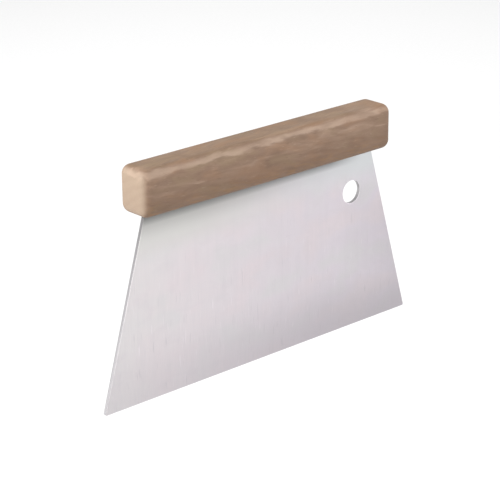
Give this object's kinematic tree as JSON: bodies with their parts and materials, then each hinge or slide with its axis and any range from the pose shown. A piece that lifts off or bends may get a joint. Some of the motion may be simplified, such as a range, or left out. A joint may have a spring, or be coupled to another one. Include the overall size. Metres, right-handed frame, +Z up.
{
  "type": "bench scraper",
  "caption": "Bench scraper: a flared trapezoid blade of sheet steel with a round hanging hole, bonded into a straight wooden handle with rounded edges.",
  "frame": {"origin": "middle of the working edge, on the blade's mid-plane", "axes": "+X along the working edge towards the hanging hole, +Y through the blade from its front to its back, +Z up from the edge to the handle"},
  "size_m": [0.1496, 0.0144, 0.0875],
  "materials": {
    "handle_wood": "sanded and lightly oiled, mid brown, paler end grain",
    "blade_steel": "stainless, brushed along Z from the edge to the handle",
    "cured_epoxy": "cured amber epoxy"
  },
  "bodies": {
    "root": {"handle": "handle_wood", "blade": "blade_steel", "adhesive": "cured_epoxy"}
  },
  "joints": []
}
